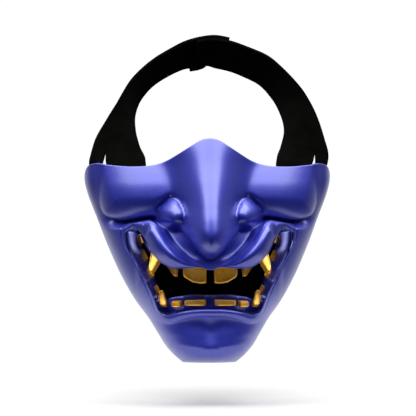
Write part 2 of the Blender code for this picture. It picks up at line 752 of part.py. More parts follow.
def tooth(name, table, x, z, width, tall, tip, shift, upright):
    """Rounded block against the gum's face; tip is the share of width left at its free end."""
    frames = gum_frames(table, GUM_STATIONS // 2 + 1)
    points, along, across, face, reach = (between_stations(values) for values in frames)
    i = int(np.argmin(np.hypot(points[:, 0] - x, points[:, 2] - z)))
    flat = np.array([x, points[i, 1], z]) - points[i]
    seat = points[i] + across[i] * np.dot(flat, across[i])
    length_way = np.array([0, 0, upright]) if upright else along[i]
    length_way = unit(length_way - face[i] * np.dot(length_way, face[i]))
    width_way = np.cross(length_way, face[i])
    width_way = width_way * np.sign(width_way[0])
    spread = np.linspace(-1, 1, 11)
    rise = np.interp(np.abs(spread), (0.7, 1), (1, 0.5)) * GUM_DEPTH / 2
    lines = [frames[0] + frames[3] * v + frames[2] * (u * frames[4])[:, None] for u, v in zip(spread, rise)]
    surface = np.concatenate([between_stations(line) for line in lines])
    rings = []
    for t in np.linspace(0, 1, TOOTH_RINGS):
        round_end = np.sqrt(1 - (2 * t - 1) ** 8 * 0.75)
        wide = width / 2 * (1 + (tip - 1) * t**1.5) * round_end
        deep = TOOTH_DEPTH / 2 * (1 + (max(tip, 0.4) - 1) * t**2) * round_end
        centre = seat + face[i] * (GUM_DEPTH / 2 + GAP + deep)
        centre = centre + length_way * tall * (t - 0.5) + width_way * shift * width * t**1.5
        turns = np.linspace(0, 2 * np.pi, TOOTH_SIDES, endpoint=False) + np.pi / TOOTH_SIDES
        u = np.sign(np.cos(turns)) * np.abs(np.cos(turns)) ** 0.7
        v = np.sign(np.sin(turns)) * np.abs(np.sin(turns)) ** 0.7
        rings.append(centre + np.outer(u * wide, width_way) + np.outer(v * deep, face[i]))
    rings = np.array(rings)
    faces = grid_faces(TOOTH_RINGS, TOOTH_SIDES, False, True)
    last = (TOOTH_RINGS - 1) * TOOTH_SIDES
    faces += fan(tuple(range(TOOTH_SIDES))[::-1]) + fan(tuple(range(last, last + TOOTH_SIDES)))
    body = seated(rings, face[i], surface, np.tile(face, (len(spread), 1))).reshape(-1, 3)
    add_body(name + "_right", body, faces, GOLD)
    add_body(name + "_left", body * np.array([-1, 1, 1]), faces, GOLD)


def teeth():
    for name, row, x, width, z, tall, tip, shift in TEETH:
        table = UPPER_GUM if row == "upper" else LOWER_GUM
        upright = {"upper": -1, "lower": 1, "side": 0}[row]
        place = x * HALF_WIDTH / 100, z * MASK_DROP / 100
        tooth(name, table, *place, width * HALF_WIDTH / 100, tall * MASK_DROP / 100, tip, shift, upright)


def slab(name, front, back, keep, finish):
    """Closed sheet from two grids of points; keep says which cells it covers. Points that meet are joined."""
    rows, columns = front.shape[:2]
    points = np.concatenate([front.reshape(-1, 3), back.reshape(-1, 3)])
    _, first, place = np.unique(np.round(points, 4), axis=0, return_index=True, return_inverse=True)
    place = place.reshape(-1)
    count = rows * columns
    faces = []
    edges = {}
    for r in range(rows - 1):
        for c in range(columns - 1):
            if keep[r][c]:
                cell = (r * columns + c, r * columns + c + 1, (r + 1) * columns + c + 1, (r + 1) * columns + c)
                faces.append(tuple(place[v] for v in cell))
                faces.append(tuple(place[v + count] for v in cell[::-1]))
                for a, b in zip(cell, cell[1:] + cell[:1]):
                    edges[(place[a], place[b])] = (a, b)
    for (a, b), (p, q) in edges.items():
        if (b, a) not in edges:
            faces.append((b, a, place[p + count], place[q + count]))
    used = sorted({v for face in faces for v in face})
    order = {v: k for k, v in enumerate(used)}
    add_body(name, points[first][used], [tuple(order[v] for v in face) for face in faces], finish)


def mouth_screen():
    """Thin sheet behind the gums, held against the inside of the shell round the mouth."""
    edge = mirrored(curve(SCREEN_EDGE, SCREEN_COLUMNS // 2 + 1))
    t = np.linspace(0, 1, SCREEN_ROWS + 1)[1:, None, None]
    centre = np.array([0, SCREEN_CENTRE_Z])
    flat = centre + t * (edge - centre)
    x = flat[..., 0]
    z = flat[..., 1]
    bowl = hermite(np.abs(x), [row[0] for row in SCREEN_ROUND], [row[1] for row in SCREEN_ROUND])
    h = np.minimum(bowl - WALL - GUM_DEPTH, inset_height(x, z, WALL + 2 * GAP))
    front = np.stack([x, h, z], -1).reshape(-1, 3)
    middle = np.array([[0, SCREEN_ROUND[0][1] - WALL - GUM_DEPTH, SCREEN_CENTRE_Z]])
    front = np.concatenate([middle, front])
    back = front - np.array([0, SCREEN_WALL, 0])
    faces = []
    count = len(front)
    columns = len(edge)
    for c in range(columns):
        faces.append((0, 1 + c, 1 + (c + 1) % columns))
    for face in grid_faces(SCREEN_ROWS, columns, False, True):
        faces.append(tuple(v + 1 for v in face[::-1]))
    faces += [tuple(v + count for v in face[::-1]) for face in faces]
    start = 1 + (SCREEN_ROWS - 1) * columns
    for c in range(columns):
        a = start + c
        b = start + (c + 1) % columns
        faces.append((b, a, a + count, b + count))
    add_body("mouth_screen", np.concatenate([front, back]), faces, SCREEN_CLOTH)


def strap_edge(table, top, side):
    """One edge of the strap from just past the top to the end of its tail, as x, depth and z."""
    here = [(side * row[2 if side > 0 else 3], row[1], row[0]) for row in table]
    there = [(-side * row[3 if side > 0 else 2], row[1], row[0]) for row in table[:2]]
    line = curve(there[::-1] + [top] + here, 400, dims=3)
    walked = lengths(line)
    start = walked[np.argmin(np.linalg.norm(line - np.array(top), axis=1))] - STRAP_LAP
    at = np.linspace(start, walked[-1], STRAP_STEPS + 1)
    return np.stack([np.interp(at, walked, line[:, j]) for j in range(3)], 1)


def surface_normals(points):
    normal = np.cross(np.gradient(points, axis=0), np.gradient(points, axis=1))
    joined = slice(0, FORK_STEP + 1)
    both = normal[joined, INNER_TAIL_CELLS] + normal[joined, INNER_TAIL_CELLS + 1]
    normal[joined, INNER_TAIL_CELLS] = both
    normal[joined, INNER_TAIL_CELLS + 1] = both
    return unit(normal) * np.sign(normal[..., 1].sum())


def strap_half(word, side):
    """Sheet between its two edges, its tails lying inside the cheek on their fastening patches."""
    outer = strap_edge(STRAP_OUTER, OUTER_TOP, side)
    inner = strap_edge(STRAP_INNER, INNER_TOP, side)
    step = np.arange(STRAP_STEPS + 1)
    past = smooth((step - FORK_STEP) / (STRAP_STEPS - FORK_STEP))[:, None]
    inner_side = np.linspace(0, 1, INNER_TAIL_CELLS + 1)[None] * (
        FORK_SHARE + (INNER_TAIL_SHARE - FORK_SHARE) * past
    )
    outer_side = 1 - np.linspace(1, 0, OUTER_TAIL_CELLS + 1)[None] * (
        1 - FORK_SHARE + (FORK_SHARE - OUTER_TAIL_SHARE) * past
    )
    v = np.concatenate([inner_side, outer_side], 1)[..., None]
    points = (inner[:, None] * (1 - v) + outer[:, None] * v) * np.array([1, -1, 1])
    x = points[..., 0]
    z = points[..., 2]
    touch = smooth((step - FORK_STEP - 1) / (STRAP_STEPS - FORK_STEP) * 1.6)[:, None]
    lying = inset_height(x, z, WALL + PATCH_WALL + 2 * PATCH_GAP)
    points[..., 1] = points[..., 1] * (1 - touch) + lying * touch
    normal = surface_normals(points)
    if side > 0:
        walked = lengths(points[:, 0])
        under = (STRAP_WALL + LAP_GAP) * (1 - smooth((walked - LAP_KEEP) / LAP_EASE))
        points = points + normal * under[:, None, None]
    columns = INNER_TAIL_CELLS + OUTER_TAIL_CELLS + 1
    keep = [[c != INNER_TAIL_CELLS for c in range(columns)] for _ in range(STRAP_STEPS)]
    slab("strap_" + word, points, points - normal * STRAP_WALL, keep, NEOPRENE)
    start = FORK_STEP + int(round((STRAP_STEPS - FORK_STEP) * PATCH_START)) + 1
    for tail, cells in (("inner", slice(0, INNER_TAIL_CELLS + 1)), ("outer", slice(INNER_TAIL_CELLS + 1, None))):
        flat = points[start:, cells]
        x = flat[..., 0]
        z = flat[..., 2]
        front = np.stack([x, inset_height(x, z, WALL + PATCH_GAP), z], -1)
        back = np.stack([x, inset_height(x, z, WALL + PATCH_GAP + PATCH_WALL), z], -1)
        cover = np.ones((front.shape[0] - 1, front.shape[1] - 1), bool)
        slab("patch_" + tail + "_" + word, front, back, cover, FASTENER)


def build():
    for obj in list(bpy.data.objects):
        bpy.data.objects.remove(obj)
    bpy.context.scene.collection.objects.link(bpy.data.objects.new(ASSEMBLY, None))
    mask_shell()
    gum("upper_gum", UPPER_GUM)
    gum("lower_gum", LOWER_GUM)
    teeth()
    mouth_screen()
    strap_half("left", -1)
    strap_half("right", 1)


build()
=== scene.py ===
"""Half-face oni mask on its head strap, in a plain pale studio. Built in millimetres, placed in metres."""

import bpy
import numpy as np
from mathutils import Matrix, Vector


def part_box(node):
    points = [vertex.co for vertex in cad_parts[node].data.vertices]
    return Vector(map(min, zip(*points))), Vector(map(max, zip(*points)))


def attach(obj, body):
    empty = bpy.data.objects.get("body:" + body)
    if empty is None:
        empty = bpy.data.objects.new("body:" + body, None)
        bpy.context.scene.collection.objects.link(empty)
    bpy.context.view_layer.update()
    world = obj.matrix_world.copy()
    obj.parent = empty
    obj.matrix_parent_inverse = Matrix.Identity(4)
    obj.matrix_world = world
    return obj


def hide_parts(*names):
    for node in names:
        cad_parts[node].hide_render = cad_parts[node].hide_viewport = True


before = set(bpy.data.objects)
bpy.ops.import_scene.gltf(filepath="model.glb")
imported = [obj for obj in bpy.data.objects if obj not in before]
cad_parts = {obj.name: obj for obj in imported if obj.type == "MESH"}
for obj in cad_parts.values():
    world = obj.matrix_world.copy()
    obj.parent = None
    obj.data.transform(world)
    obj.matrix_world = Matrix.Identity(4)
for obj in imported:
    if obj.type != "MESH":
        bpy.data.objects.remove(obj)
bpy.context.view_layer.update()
MM = 0.001

# Sizes shared with the solids, in millimetres; heights are forward of the rear corners
HALF_WIDTH = 88.0
MASK_DROP = 135.5
FACE_DEPTH = 97.0
WALL = 3.5
STRAP_RISE = 101.8
STRAP_REACH = 92.0
STRAP_WALL = 3.0
GUM_DEPTH = 4.0
TOOTH_DEPTH = 4.0
SCREEN_WALL = 1.5
PATCH_WALL = 2.0
GAP = 0.3
TOOTH_GAP = 0.45
PATCH_GAP = 0.6

SHELL_COLUMNS = 520
FRONT_ROWS = 150
BACK_ROWS = 14
RIM_ROWS = 8
INSET_TURNS = 8
INSET_SHARES = (0.35, 0.7, 0.95)
GUM_STATIONS = 121
GUM_SIDES = 28
TOOTH_STATIONS = 200
TOOTH_SIDES = 96
SCREEN_ROWS = 40
SCREEN_STATIONS = 81
STRAP_FINE = 8
ACROSS_FINE = 10
TINY = 1e-6


def sized(sizes, rows):
    factors = [1 if size is None else size / 100 for size in sizes]
    return [tuple(value * factor for value, factor in zip(row, factors)) for row in rows]


# Shell outline, section and mouth opening
JAW_ROUND = 2.1
CHIN_ROUND = 15.0
CHIN_POWER = 2.2
MOUTH_LEAN = 0.8
JAW = sized((MASK_DROP, HALF_WIDTH, FACE_DEPTH, FACE_DEPTH), [
    # z, half width, edge height, front height
    (18.5, 100, 0, 47.4), (0, 100, 0, 51.5), (-7.4, 100, 0, 54.6), (-14.8, 97.2, 0.5, 58.8),
    (-22.1, 93, 1.5, 62.9), (-29.5, 88.4, 3.1, 69.1), (-44.3, 79, 8.2, 78.4), (-59, 68, 15.5, 79.9),
    (-70.1, 57.5, 22.7, 78.9), (-78.2, 47.7, 28.9, 76.8), (-85.6, 40.3, 35.1, 79.4),
    (-93, 32.5, 41.2, 81.4), (-97.4, 25.6, 45.4, 80.9), (-100, 20.5, 47.4, 80.4)])
TOP_RIM = sized((HALF_WIDTH, MASK_DROP), [
    (0, 12.4), (5.7, 11.8), (14.2, 8.8), (23.9, 4.9), (34.1, 1.3), (44.9, -0.7), (55.2, -1.2),
    (67.6, -1), (80.7, -0.1), (90.9, 0.6), (96.4, -0.4), (99.1, -3), (100, -7.4)])
UPPER_LIP = sized((HALF_WIDTH, MASK_DROP), [
    (0, -52.1), (9.8, -51.2), (17.4, -51.8), (24.5, -51.9), (31, -51.4), (35.2, -50), (39.5, -48),
    (44.1, -44.4), (47.3, -40.3), (50.2, -36.8), (53.4, -34.1), (56.8, -32.2), (60.5, -31.4),
    (63.6, -32), (66.1, -34.2)])
LOWER_LIP = sized((HALF_WIDTH, MASK_DROP), [
    (66.1, -34.2), (65.5, -39.1), (61.4, -45.5), (57, -50.6), (53, -55.4), (49.1, -59.5),
    (45.9, -63), (43.2, -67.2), (40.9, -71.3), (37.7, -74.8), (33.6, -75.9), (28.3, -75.1),
    (20.5, -73.3), (9.8, -72.3), (0, -72.1)])
MOUTH_ANCHORS = [0, 0.4, 0.46, 0.8, 1]
OUTLINE_ANCHORS = [0, 0.27, 0.36, 0.85, 1]

# Cheeks and nose
CHEEK = sized((MASK_DROP, FACE_DEPTH), [
    (-44.3, 57.7), (-29.5, 58.8), (-22.1, 58.6), (-16.2, 57.5), (-11.1, 55.2), (-5.9, 51.5),
    (0, 46.9), (7.4, 41.2), (18.5, 32)])
CHEEK_HALF_WIDTH = 1.023 * HALF_WIDTH
CHEEK_ROUND = 2.6
CHEEK_SINK = 0.082 * FACE_DEPTH
RIDGE = sized((MASK_DROP, FACE_DEPTH, None), [
    # z, height, side slope
    (-48.7, 101, 1.8), (-41.3, 101, 2.1), (-35.4, 100, 2.45), (-29.5, 96.9, 2.7),
    (-22.1, 91.2, 2.6), (-11.1, 82, 1.95), (0, 72.7, 1.45), (7.4, 67, 1.15), (16.2, 60.3, 1)])
RIDGE_RADIUS = 14.0
NOSE_BLEND = 9.0
CHEEK_EDGE = sized((HALF_WIDTH, MASK_DROP, MASK_DROP, FACE_DEPTH, FACE_DEPTH, MASK_DROP), [
    # x, z, round, fall, sink, reach: lower edge of the nose, the cheek roll and its outer end
    (-7, -42.4, 8.9, 10.3, 0, 3), (0, -44.5, 8.9, 10.3, 0, 3), (7, -42.4, 8.9, 10.3, 0, 3),
    (14.2, -37.9, 8.1, 9.3, 0, 6), (21.4, -33.7, 6.6, 7.2, 3, 6), (27.3, -31.4, 6.6, 8.2, 8, 6),
    (34.1, -29.5, 8.9, 9.3, 13, 6), (40.9, -27.5, 11.1, 10.3, 16, 6), (51.1, -27.7, 11.8, 11.3, 16, 5),
    (62.5, -28.6, 12.5, 11.3, 15, 3.7), (73.9, -27.9, 11.8, 11.3, 11, 6.6),
    (82.2, -25.5, 10.3, 11.3, 6, 8.9), (86.9, -19.9, 8.9, 11.3, 3, 8.1), (89.5, -10.3, 7.4, 9.3, 2, 5.2),
    (90.9, 0, 6.6, 5.2, 1.5, 3.7), (92, 18.5, 6.6, 3.1, 1, 3.7)])
HOOD_SHARE = 0.35
EDGE_DROP = 4.0
CHEEK_BLEND = 1.2
WING_X = 25.4
WING_Z = -33.3
WING_RADIUS = [
    # degrees, radius of the bump, reach and fall of the hood over it
    (-180, 8.0, 2.0, 2.2), (-150, 8.2, 1.6, 0.8), (-100, 8.6, 2, 0), (-60, 7.8, 3, 0), (-37, 8.2, 4, 0),
    (-10, 8.6, 6, 2.0), (13, 8.6, 8, 6.0), (35, 8.0, 8, 8.0), (57, 7.7, 6.8, 8.0), (84, 8.6, 6.6, 7.5),
    (107, 8.7, 4.6, 6.0), (135, 7.6, 3.2, 4.5), (160, 7.6, 2.4, 3.2), (180, 8.0, 2.0, 2.2)]
WING_BASE = 61.0
WING_TILT = (-0.75, -0.5)
WING_RISE = 6.5
WING_POWER = 2.5
WING_BLEND = 2.5
# Channel between the nose and the upper lip: depth at the middle and further out
CHANNEL_DEPTH = 2.0
CHANNEL_DEEP = 8.5
CHANNEL_START = 6.0
CHANNEL_WIDEN = 24.0
CHANNEL_BLEND = 4.0
CHANNEL_END = 40.0
CHANNEL_FADE = 8.0
HOLLOW_BLEND = 2.0
# The jaw's surface is sunk under the cheek's along the top edge
TOP_SINK = 5.0
TOP_SINK_Z = -12.0
TOP_SINK_X = 74.0
TOP_SINK_FADE = 8.0

# Lips and chin
LIP_ROLL = sized((HALF_WIDTH, MASK_DROP, FACE_DEPTH, FACE_DEPTH), [
    # x, z, step, bulge: outer line of the upper lip
    (0, -51.5, 0, 0), (5.7, -51.4, 0.3, 0.6), (13.4, -49.8, 1, 2.6), (20.1, -46.8, 1.9, 5.2),
    (24.7, -43.9, 2.6, 7.2), (30.9, -39.7, 3.1, 8.8), (37.4, -33.3, 3.1, 8.8), (41.5, -29.2, 2.6, 7.7),
    (46, -27.9, 2.1, 6.2), (52.3, -28.5, 1.2, 3.1), (59.1, -29.2, 0.5, 1), (68.2, -30.3, 0, 0)])
LIP_SKEW = 0.8
LIP_FULL = 0.75
STEP_WIDTH = 0.8
LIP_LINE_DEPTH = 0.45
LIP_LINE_BULGE = 3.0
LIP_LINE_AWAY = 1.7
LIP_LINE_HALF_WIDTH = 0.5
# Beyond this corner of the mouth the upper lip ends, as x, z and the length of each fade
LIP_STOP = (46.0, -60.0)
LIP_STOP_FADE = (6.0, 8.0)
LIP_END = 60.0
LIP_END_FADE = 8.0
ROLL_BLEND = 0.8
LOWER_LIP_ROLL = sized((HALF_WIDTH, MASK_DROP, MASK_DROP, FACE_DEPTH), [
    # x, z, half width, rise
    (0, -73.7, 2.2, 3.3), (11.4, -73.9, 2.2, 3.3), (22.7, -75.6, 2.2, 2.9), (31.8, -77.6, 2.2, 2.3),
    (39.8, -76.4, 2.2, 1), (44.3, -70.8, 2.2, 0.2)])
HOLLOW_DEPTH = 5.0
HOLLOW_HALF_WIDTH = 22.0
HOLLOW_Z = -0.443 * MASK_DROP
HOLLOW_HALF_HEIGHT = 9.0
GROOVE_DEPTH = 1.3
GROOVE_HALF_WIDTH = 5.0
GROOVE_START = 9.0
GROOVE_RUNOUT = 10.0
GROOVE_TOP = -0.76 * MASK_DROP
GROOVE_BOTTOM = -0.9 * MASK_DROP
BOSS_TOP = -119.0
BOSS_BOTTOM = -131.0
BOSS_HALF_WIDTH = 16.0
BOSS_RISE = 1.4
BOSS_LOWEST = 1.5
BOSS_EDGE = 1.2
BOSS_TIP = 0.02
MOUTH_CREASE = [
    # x, z, depth: fine groove just outside the corner of the mouth
    (52, -38.2, 0), (56, -39.4, 0.4), (59.2, -41.6, 0.8), (60.2, -45.5, 0.9), (59.4, -51, 0.9),
    (57, -56.8, 0.9), (53.2, -63.5, 0.8), (48.6, -71.5, 0.7), (44.3, -80, 0.7), (40.5, -88.5, 0.6),
    (37.6, -97, 0.5), (35.4, -103, 0)]
CREASE_HALF_WIDTH = 0.55

# Gums, teeth and the black screen behind the mouth, whose black is painted shade for the hollow inside the
# mask
UPPER_GUM = sized((HALF_WIDTH, MASK_DROP, FACE_DEPTH, MASK_DROP, None), [
    # x, z, height, half width, inward tilt
    (0, -49.7, 69.9, 3.3, 0), (13.6, -49.4, 68.9, 3.3, 0.1), (25, -48.9, 65.5, 3.3, 0.25),
    (34.1, -47.2, 59.8, 3.3, 0.4), (40.9, -44.3, 54.1, 3.3, 0.5), (46.6, -39.1, 47.9, 3, 0.5),
    (50, -35.4, 43.8, 2.6, 0.5)])
LOWER_GUM = sized((HALF_WIDTH, MASK_DROP, FACE_DEPTH, MASK_DROP, None), [
    (0, -69.4, 69.6, 4.4, 0), (13.6, -69.4, 68.6, 4.4, 0.1), (25, -70.5, 64.9, 4.4, 0.2),
    (34.1, -71.2, 57.7, 3.7, 0.3), (40.9, -67.5, 54.1, 3.6, 0.4), (44.9, -62, 52.1, 3.7, 0.5),
    (50, -54.6, 47.7, 4.1, 0.6), (55.3, -47.2, 42.3, 4.6, 0.65), (59.5, -39.9, 35.6, 4.6, 0.7),
    (60.6, -35.1, 32, 4.2, 0.7)])
GUM_POWER = 0.75
PAPILLA = 0.9
PAPILLA_WIDTH = 1.6
SIDE_PAPILLA = np.array([1.6, 4.6])
# Outlines of the teeth: across from the middle of the mouth outwards, and from root to tip
INCISOR = [(-0.98, -1), (0.98, -1), (0.98, 0.1), (0.85, 0.35), (0.15, 0.86), (-0.5, 1), (-0.95, 0.95)]
FLAG = [(-0.9, -1), (0.98, -1), (0.95, -0.55), (-0.55, 0.95), (-0.95, 1)]
UPPER_FANG = [(-1, -1), (0.95, -1), (1, -0.2), (0.75, 0.6), (0.3, 1), (-0.05, 0.85), (-0.8, -0.2)]
BAR = [(-0.98, -1), (0.98, -1), (0.98, 0.75), (-0.98, 1)]
LOWER_FANG = [
    (-0.75, -1), (0.3, -1), (0.8, -0.5), (1, 0.1), (0.95, 0.7), (0.5, 1), (0.1, 0.75), (-0.3, 0.1),
    (-0.85, -0.6)]
SLIVER = [(-1, -0.9), (0.6, -1), (1, -0.3), (0.9, 0.6), (0.2, 1), (-0.9, 0.8)]
TEETH = [
    # name, row, x and width of the half width, z and length of the drop, outline
    ("upper_central", "upper", 11.1, 18.4, -54.8, 9.6, INCISOR),
    ("upper_lateral", "upper", 26.8, 9.5, -53, 7.4, FLAG),
    ("upper_fang", "upper", 38.4, 10.2, -51.3, 15.5, UPPER_FANG),
    ("lower_central", "lower", 10.9, 16.6, -68.9, 3.1, BAR),
    ("lower_lateral", "lower", 23.4, 7.7, -69.2, 3.2, BAR),
    ("lower_fang", "lower", 33.9, 8.2, -68.8, 8.9, LOWER_FANG),
    ("side_tooth_1", "side", 41.9, 2.4, -64.2, 4.9, SLIVER),
    ("side_tooth_2", "side", 47, 2.4, -56.2, 6.3, SLIVER),
    ("side_tooth_3", "side", 51.8, 2.4, -47.4, 6.8, SLIVER),
    ("side_tooth_4", "side", 55.5, 2.4, -39.1, 6.5, SLIVER)]
CORNER_CUT = 0.6
MOST_CUT = 0.4
# Rings from the back of a tooth to the middle of its face: share of the outline, share of the depth
TOOTH_RINGS = [
    (0, 0), (0.5, 0), (0.9, 0), (0.97, 0.04), (1, 0.14), (1, 0.35), (1, 0.6), (0.985, 0.8), (0.95, 0.92),
    (0.9, 0.99), (0.84, 1), (0.78, 0.97), (0.7, 0.93), (0.55, 0.9), (0.3, 0.89), (0, 0.885)]
SCREEN_CENTRE_Z = -0.576 * MASK_DROP
SCREEN_ROUND = sized((HALF_WIDTH, FACE_DEPTH), [
    (0, 71), (13.6, 69.4), (25, 64.6), (34.1, 54.8), (40.9, 48.2), (47.7, 41), (54.5, 32.5),
    (61.4, 25.3), (70.5, 20.1), (80, 16)])
SCREEN_EDGE = sized((HALF_WIDTH, MASK_DROP), [
    (0, -44.3), (22.7, -42.1), (43.2, -35.4), (54.5, -28), (63.6, -28.4), (69.3, -32.5), (68.2, -39.9),
    (60.2, -51.7), (51.1, -62.7), (44.3, -73.8), (34.1, -79), (17, -77.5), (0, -76)])

# Head strap
STRAP_STEPS = 30
FORK_STEP = 22
INNER_TAIL_CELLS = 4
OUTER_TAIL_CELLS = 2
FORK_SHARE = 0.74
INNER_TAIL_SHARE = 0.6
OUTER_TAIL_SHARE = 0.84
STRAP_LAP = 13.0
LAP_GAP = 0.8
LAP_KEEP = 34.0
LAP_EASE = 28.0
TOUCH_SPEED = 1.6
PATCH_START = 0.45
CUT_EDGE = 0.6
CUT_EDGE_STEPS = 3
CUT_EDGE_ANGLE = np.radians(50)
OUTER_TOP = (0.074 * HALF_WIDTH, 0.804 * STRAP_REACH, STRAP_RISE)
INNER_TOP = (0, STRAP_REACH, 0.819 * STRAP_RISE)
STRAP_OUTER = sized((STRAP_RISE, STRAP_REACH, HALF_WIDTH, HALF_WIDTH), [
    # z, depth, right x, left x
    (96.3, 79.9, 29.3, 13.6), (90, 77.2, 44.1, 27.6), (83.6, 74.5, 56.1, 39.9), (77.2, 70.7, 64.4, 49.4),
    (67.7, 64.1, 75.1, 60.6), (58.2, 56.5, 83.9, 68.2), (45.6, 46.7, 91.4, 77.3), (33.3, 37, 96.1, 85.2),
    (21.1, 27.2, 99.2, 92.4), (9.2, 16.3, 101.2, 95.9), (2, 8.7, 99.4, 96.9), (-7.9, -3.3, 92, 90.9),
    (-16.7, -17.4, 84.1, 84.1)])
STRAP_INNER = sized((STRAP_RISE, STRAP_REACH, HALF_WIDTH, HALF_WIDTH), [
    (79.9, 99.5, 11.7, 3.4), (76.7, 97.8, 25.9, 18.6), (70.2, 94.6, 39.1, 33.8), (63.7, 89.1, 49.3, 44.3),
    (53.7, 78.3, 58.2, 53.9), (40.5, 58.7, 64.3, 59.5), (27.4, 35.9, 65.7, 59.1), (14.8, 13, 61.1, 55.3),
    (2.7, -9.8, 55.1, 50.1), (-4.9, -20.7, 55.1, 52.3), (-10.8, -29.3, 56.2, 55.7), (-17.7, -38, 58.5, 58.5)])

# Camera and studio
VIEW_DISTANCE = 1000.0
LENS = 120.5
VIEW_TURN = np.radians(1.7)
VIEW_Z = -30.0
VIEW_X = 0.5
SENSOR = 36.0
FLOOR_Z = -163.0
FLOOR_HALF_WIDTH = 0.21
FLOOR_FRONT = -0.2
FLOOR_BACK = 0.12
FLOOR_WHITE = 0.58
FLOOR_GLOW = 0.08
SKY_STRENGTH = 1.02
# Place from straight ahead of the mask, 0, to straight behind it, 1, and brightness
SKY = [(0, 0), (0.45, 0.02), (0.6, 0.13), (0.8, 0.28), (0.97, 1)]
PANEL_PLACE = (0, -0.2, 1.0)
PANEL_WIDE = 2.6
PANEL_DEEP = 1.2
PANEL_POWER = 52
BLACKS = [
    # material, darkest and lightest tone, grains per metre
    ("black_neoprene", (0.0014, 0.0014, 0.0013), (0.0026, 0.0026, 0.0024), 900),
    # black_cloth colours the screen behind the mouth: painted shade standing in for the dark hollow inside
    # the mask
    ("black_cloth", (0.001, 0.001, 0.001), (0.002, 0.002, 0.002), 1500),
    ("hook_and_loop", (0.002, 0.002, 0.002), (0.005, 0.005, 0.005), 1200)]


def hermite(x, xs, ys):
    """Smooth curve through the points (xs, ys)."""
    xs = np.asarray(xs, float)
    ys = np.asarray(ys, float)
    slope = np.gradient(ys, xs)
    x = np.clip(x, xs[0], xs[-1])
    i = np.clip(np.searchsorted(xs, x, side="right") - 1, 0, len(xs) - 2)
    span = xs[i + 1] - xs[i]
    t = (x - xs[i]) / span
    start = (2 * t**3 - 3 * t**2 + 1) * ys[i] + (t**3 - 2 * t**2 + t) * span * slope[i]
    end = (3 * t**2 - 2 * t**3) * ys[i + 1] + (t**3 - t**2) * span * slope[i + 1]
    return start + end


def column(table, key, value):
    rows = np.asarray(sorted(table), float)
    return hermite(key, rows[:, 0], rows[:, value])


def smooth(t):
    t = np.clip(t, 0, 1)
    return t * t * (3 - 2 * t)


def soft_max(a, b, blend):
    return np.maximum(a, b) + np.maximum(blend - np.abs(a - b), 0) ** 2 / (4 * blend)


def lengths(points):
    return np.concatenate([[0], np.cumsum(np.linalg.norm(np.diff(points, axis=0), axis=1))])


def curve(rows, count, dims=2):
    """Points along a smooth curve through the rows, spaced by length over its first dims columns."""
    rows = np.asarray(rows, float)
    s = lengths(rows[:, :dims])
    t = np.linspace(0, s[-1], 8 * count)
    dense = np.stack([hermite(t, s, rows[:, j]) for j in range(rows.shape[1])], 1)
    walked = lengths(dense[:, :dims])
    at = np.linspace(0, walked[-1], count)
    return np.stack([np.interp(at, walked, dense[:, j]) for j in range(rows.shape[1])], 1)


def nearest(x, z, path):
    """Distance to a path, positive on its left, and the path's other columns there."""
    best = np.full(x.shape, 1e9)
    side = np.zeros(x.shape)
    values = np.zeros(x.shape + (path.shape[1] - 2,))
    for a, b in zip(path[:-1], path[1:]):
        ex, ez = b[:2] - a[:2]
        t = np.clip(((x - a[0]) * ex + (z - a[1]) * ez) / (ex * ex + ez * ez), 0, 1)
        away = np.hypot(x - a[0] - t * ex, z - a[1] - t * ez)
        closer = away < best
        best = np.where(closer, away, best)
        side = np.where(closer, np.sign(ex * (z - a[1]) - ez * (x - a[0])), side)
        values = np.where(closer[..., None], a[2:] + t[..., None] * (b[2:] - a[2:]), values)
    return best * side, values


EDGE_PATH = curve(CHEEK_EDGE, 72)
ROLL_PATH = curve(LIP_ROLL, 48)
LIP_PATH = curve(UPPER_LIP, 40)
LOWER_ROLL_PATH = curve(LOWER_LIP_ROLL, 20)
CREASE_PATH = curve(MOUTH_CREASE, 36)


def quarter(t):
    """Rise of a quarter circle over t from 0 to 1."""
    return 1 - np.sqrt(np.clip(1 - np.clip(t, 0, 1) ** 2, 0, 1))


def jaw(x, z):
    edge = column(JAW, z, 2)
    share = np.clip(x / column(JAW, z, 1), 0, 1)
    across = np.sqrt(1 - share**JAW_ROUND)
    under = np.sqrt(1 - np.clip((CHIN_ROUND - MASK_DROP - z) / CHIN_ROUND, 0, 1) ** CHIN_POWER)
    up = (z - HOLLOW_Z) / HOLLOW_HALF_HEIGHT
    hollow = HOLLOW_DEPTH * np.exp(-((x / HOLLOW_HALF_WIDTH) ** 2) - up**2)
    return edge + (column(JAW, z, 3) - edge) * across * under - hollow


def wing_place(x, z):
    """Distance from the middle of the nose wing, its radius there, and the reach and fall of its hood."""
    away = np.hypot(x - WING_X, z - WING_Z)
    angle = np.degrees(np.arctan2(z - WING_Z, x - WING_X))
    return away, column(WING_RADIUS, angle, 1), column(WING_RADIUS, angle, 2), column(WING_RADIUS, angle, 3)


def cheek(x, z):
    """Cheeks and nose in one, rolled under below and hooded over the nose wing, and the sink under them."""
    share = np.clip(x / CHEEK_HALF_WIDTH, 0, 1)
    flat = (column(CHEEK, z, 1) + CHEEK_SINK) * np.sqrt(1 - share**CHEEK_ROUND) - CHEEK_SINK
    side = column(RIDGE, z, 2) * (np.hypot(x, RIDGE_RADIUS) - RIDGE_RADIUS)
    top = soft_max(flat, column(RIDGE, z, 1) - side, NOSE_BLEND)
    inside, values = nearest(x, z, EDGE_PATH)
    roll = values[..., 1] * quarter(1 - inside / values[..., 0])
    away, radius, reach, fall = wing_place(x, z)
    hood = fall * quarter(1 - (away - radius) / reach)
    top = top - np.maximum(roll, hood) - HOOD_SHARE * np.minimum(roll, hood)
    sink = values[..., 2] * smooth(1 + inside / values[..., 3])
    return np.where(inside >= 0, top, top - EDGE_DROP * np.abs(inside)), sink


